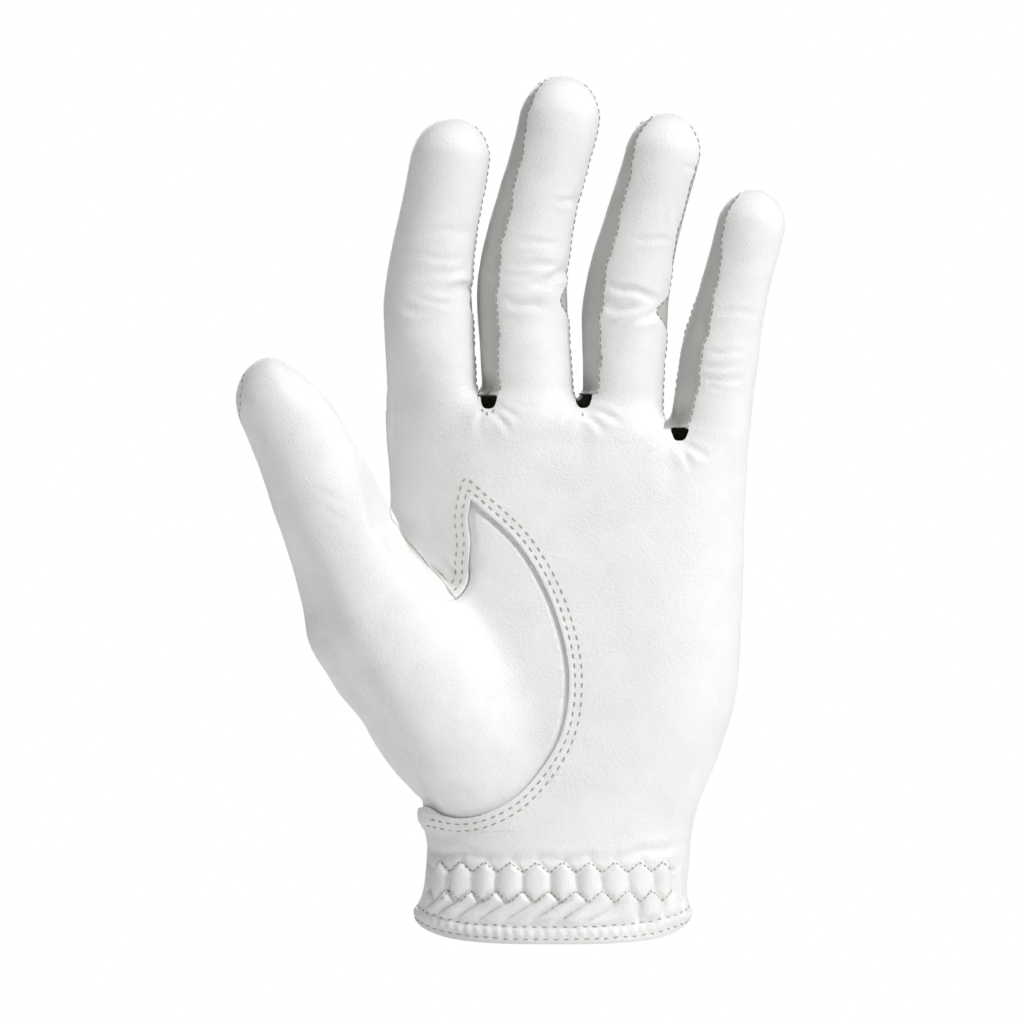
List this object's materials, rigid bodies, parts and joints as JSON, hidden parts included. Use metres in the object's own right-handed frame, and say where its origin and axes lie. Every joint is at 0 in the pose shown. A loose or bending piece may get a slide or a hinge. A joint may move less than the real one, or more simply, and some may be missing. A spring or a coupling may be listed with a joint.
{
  "type": "golf glove",
  "caption": "Left-hand white leather golf glove, filled out, with gusseted folding fingers, a set-in thumb, an elastic cuff and a wrist closure tab.",
  "frame": {"origin": "centre of the wrist opening, level with the hem's lower edge", "axes": "+Z from the wrist to the fingertips, -Y the palm side, +Y the back of the hand, -X the thumb side"},
  "size_m": [0.1358, 0.0557, 0.2156],
  "materials": {
    "leather": "soft matte, fine grain",
    "gusset_leather": "soft matte, fine grain",
    "thread": "polyester thread",
    "elastic": "woven elastic",
    "binding": "knitted edging tape",
    "loop": "loop pile",
    "hook": "moulded hooks",
    "lining": "thin woven",
    "label": "blank satin tape"
  },
  "bodies": {
    "hand": {"palm_panel": "leather", "back_panel": "leather", "thumb_base_panel": "leather", "cuff_hem": "leather", "wrist_elastic": "elastic", "slit_binding": "binding", "loop_patch": "loop", "tab_anchor": "leather", "care_label": "label", "hem_thread": "thread", "zigzag_thread": "thread", "thumb_seam_thread": "thread", "binding_thread": "thread"},
    "tab": {"closure_tab": "leather", "closure_tab_lining": "lining", "hook_patch": "hook", "tab_thread": "thread"},
    "index_lower": {"index_lower_palm_side": "leather", "index_lower_back_side": "leather", "index_lower_outer_gusset": "gusset_leather"},
    "index_upper": {"index_upper_palm_side": "leather", "index_upper_back_side": "leather", "index_upper_outer_gusset": "gusset_leather"},
    "middle_lower": {"middle_lower_palm_side": "leather", "middle_lower_back_side": "leather", "middle_lower_thumbside_gusset": "gusset_leather", "middle_lower_outer_gusset": "gusset_leather"},
    "middle_upper": {"middle_upper_palm_side": "leather", "middle_upper_back_side": "leather", "middle_upper_thumbside_gusset": "gusset_leather", "middle_upper_outer_gusset": "gusset_leather"},
    "ring_lower": {"ring_lower_palm_side": "leather", "ring_lower_back_side": "leather", "ring_lower_thumbside_gusset": "gusset_leather", "ring_lower_outer_gusset": "gusset_leather"},
    "ring_upper": {"ring_upper_palm_side": "leather", "ring_upper_back_side": "leather", "ring_upper_thumbside_gusset": "gusset_leather", "ring_upper_outer_gusset": "gusset_leather"},
    "little_lower": {"little_lower_palm_side": "leather", "little_lower_back_side": "leather", "little_lower_thumbside_gusset": "gusset_leather"},
    "little_upper": {"little_upper_palm_side": "leather", "little_upper_back_side": "leather", "little_upper_thumbside_gusset": "gusset_leather"},
    "thumb_lower": {"thumb_lower_palm_side": "leather", "thumb_lower_back_side": "leather"},
    "thumb_upper": {"thumb_upper_palm_side": "leather", "thumb_upper_back_side": "leather"}
  },
  "joints": [
    {"name": "tab_fold", "type": "hinge", "parent": "hand", "child": "tab", "pos_m": [-0.01, 0.02169, 0.0135], "axis": [0, -0.0734, 0.9973], "range_deg": [0, 150]},
    {"name": "index_root_fold", "type": "hinge", "parent": "hand", "child": "index_lower", "pos_m": [-0.03038, -0.00973, 0.13453], "axis": [0.9994, 0, 0.036], "range_deg": [0, 85], "stiffness_Nm_per_rad": 0.02},
    {"name": "index_middle_fold", "type": "hinge", "parent": "index_lower", "child": "index_upper", "pos_m": [-0.03145, -0.01054, 0.15834], "axis": [0.9961, 0, -0.0885], "range_deg": [0, 90], "stiffness_Nm_per_rad": 0.012},
    {"name": "middle_root_fold", "type": "hinge", "parent": "hand", "child": "middle_lower", "pos_m": [-0.00678, -0.00999, 0.13454], "axis": [0.9989, 0, 0.0461], "range_deg": [0, 85], "stiffness_Nm_per_rad": 0.02},
    {"name": "middle_middle_fold", "type": "hinge", "parent": "middle_lower", "child": "middle_upper", "pos_m": [-0.0082, -0.01099, 0.15944], "axis": [0.9922, 0, -0.1249], "range_deg": [0, 90], "stiffness_Nm_per_rad": 0.012},
    {"name": "ring_root_fold", "type": "hinge", "parent": "hand", "child": "ring_lower", "pos_m": [0.01689, -0.00878, 0.1312], "axis": [0.9994, 0, -0.0341], "range_deg": [0, 85], "stiffness_Nm_per_rad": 0.02},
    {"name": "ring_middle_fold", "type": "hinge", "parent": "ring_lower", "child": "ring_upper", "pos_m": [0.01754, -0.01056, 0.15647], "axis": [0.9861, 0, -0.1661], "range_deg": [0, 90], "stiffness_Nm_per_rad": 0.012},
    {"name": "little_root_fold", "type": "hinge", "parent": "hand", "child": "little_lower", "pos_m": [0.03864, -0.00886, 0.12672], "axis": [0.9922, 0, -0.1247], "range_deg": [0, 85], "stiffness_Nm_per_rad": 0.016},
    {"name": "little_middle_fold", "type": "hinge", "parent": "little_lower", "child": "little_upper", "pos_m": [0.04073, -0.00924, 0.14417], "axis": [0.98, 0, -0.199], "range_deg": [0, 90], "stiffness_Nm_per_rad": 0.01},
    {"name": "thumb_root_fold", "type": "hinge", "parent": "hand", "child": "thumb_lower", "pos_m": [-0.04438, -0.02749, 0.07947], "axis": [0.9264, 0, 0.3765], "range_deg": [0, 45], "stiffness_Nm_per_rad": 0.02},
    {"name": "thumb_middle_fold", "type": "hinge", "parent": "thumb_lower", "child": "thumb_upper", "pos_m": [-0.05712, -0.03036, 0.11092], "axis": [0.9178, 0, 0.397], "range_deg": [0, 70], "stiffness_Nm_per_rad": 0.012}
  ]
}
